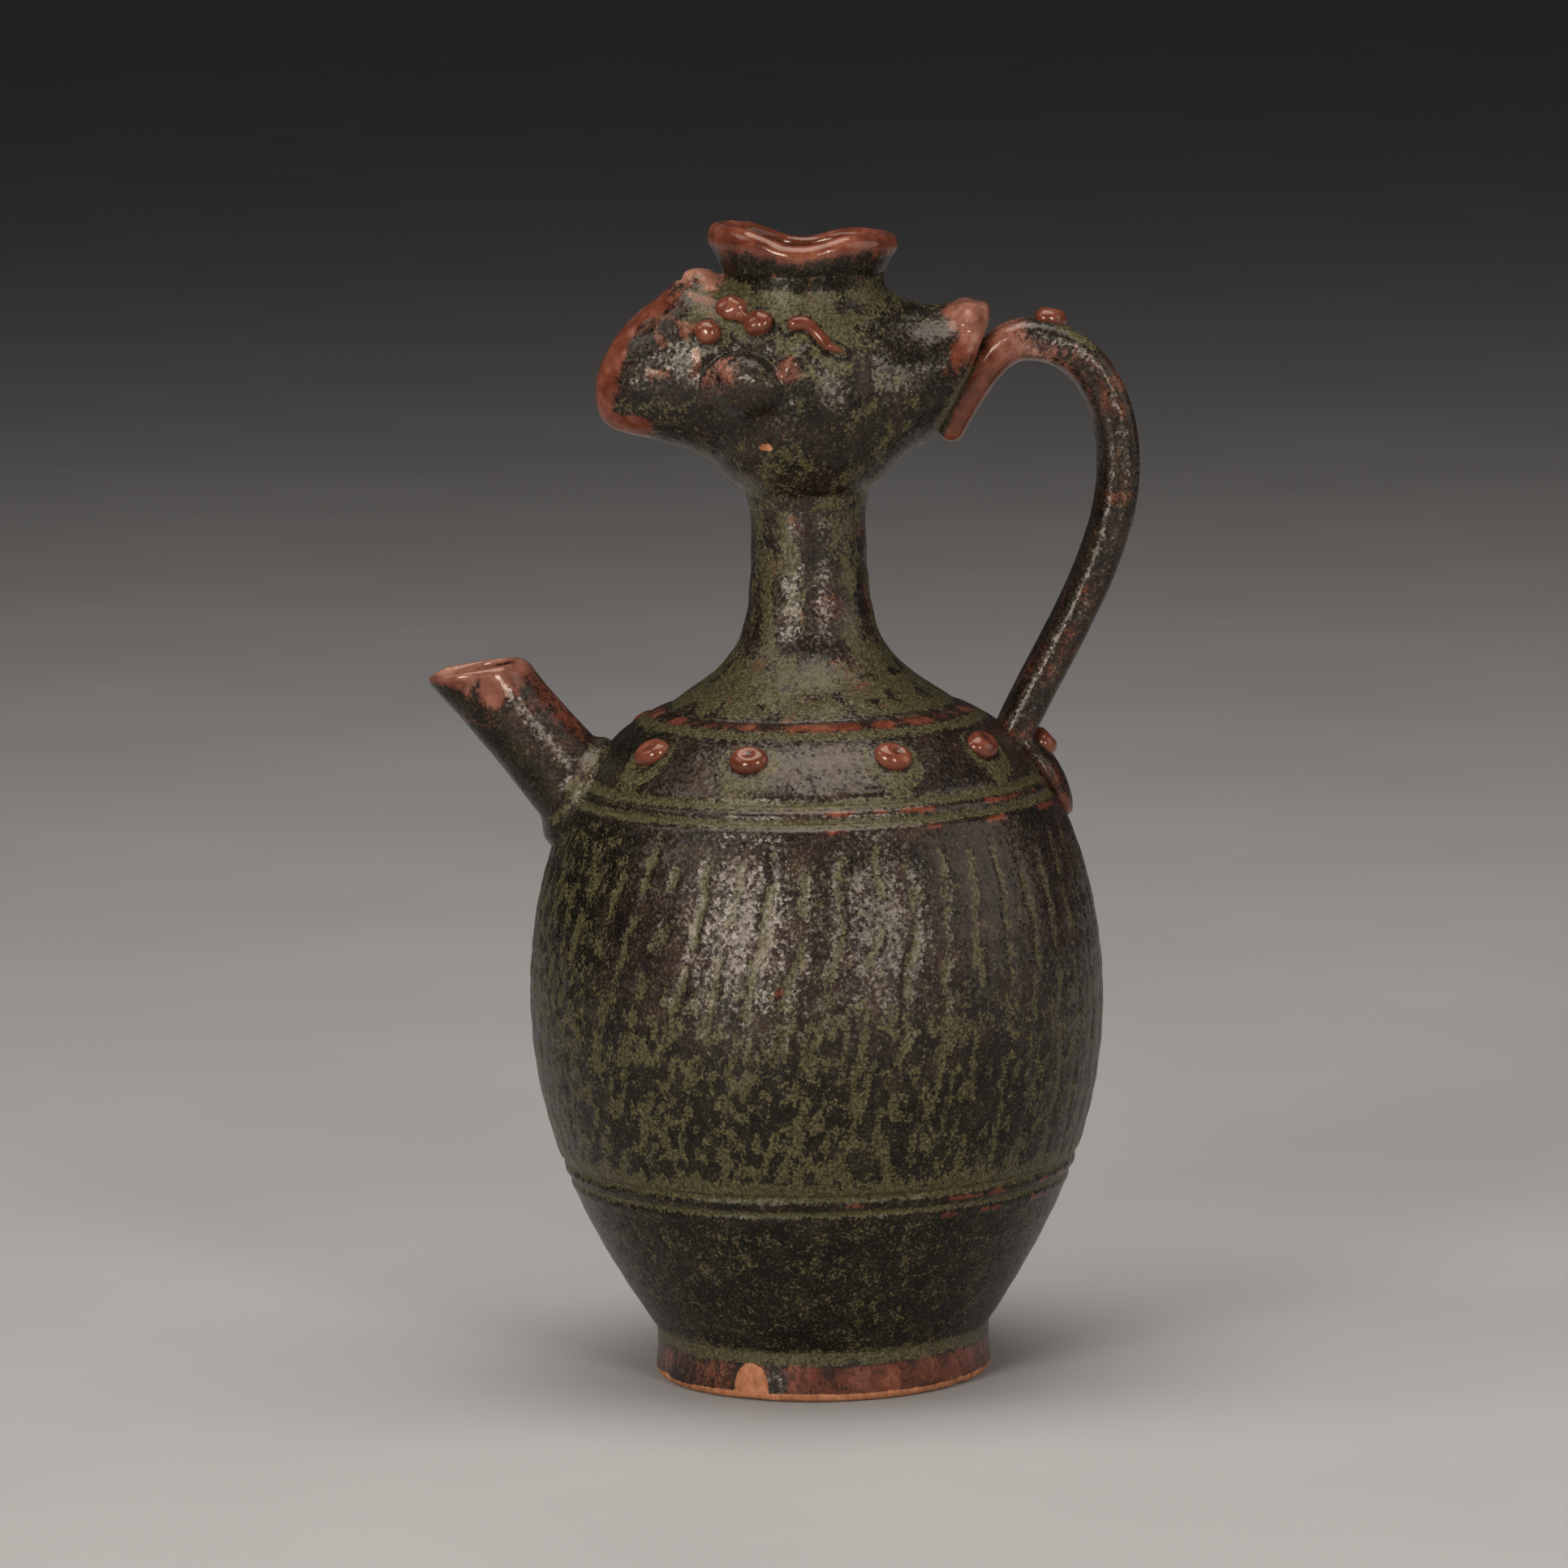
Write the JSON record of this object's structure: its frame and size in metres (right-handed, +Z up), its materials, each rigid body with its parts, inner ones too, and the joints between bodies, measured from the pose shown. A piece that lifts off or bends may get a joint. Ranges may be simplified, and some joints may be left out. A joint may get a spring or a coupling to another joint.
{
  "type": "chicken head ewer",
  "caption": "Stoneware ewer with a bird-head mouth on a slim neck, ovoid body on a ring foot, short slanted tube spout and grooved strap handle, in mottled olive and brown glaze",
  "frame": {"origin": "centre of the foot ring's underside, on the plane the ewer stands on", "axes": "+Z up along the vessel's axis, -X towards the spout, +X towards the handle, -Y the side seen in the picture"},
  "size_m": [0.1755, 0.1406, 0.2827],
  "materials": {
    "dark_glaze": "mottled dark brown and olive crystalline glaze, satin gloss",
    "olive_glaze": "streaked olive crystalline glaze, satin gloss",
    "red_glaze": "thin red-brown glaze, glossy",
    "foot_clay": "red-brown wash over bare orange clay, matt"
  },
  "bodies": {
    "root": {"foot_ring": "foot_clay", "lower_body": "dark_glaze", "upper_body": "dark_glaze", "neck": "olive_glaze", "head_bulb": "dark_glaze", "mouth_rim": "red_glaze", "spout": "red_glaze", "handle": "red_glaze", "beak": "red_glaze", "crest": "red_glaze", "comb": "red_glaze", "eye_left": "red_glaze", "eye_right": "red_glaze", "cheek_left": "dark_glaze", "cheek_right": "dark_glaze", "ear_left": "red_glaze", "ear_right": "red_glaze", "brow_left": "red_glaze", "brow_right": "red_glaze", "feather_coil_left": "red_glaze", "feather_coil_right": "red_glaze", "shoulder_buttons": "red_glaze", "handle_button_upper": "red_glaze", "handle_button_lower": "red_glaze"}
  },
  "joints": []
}
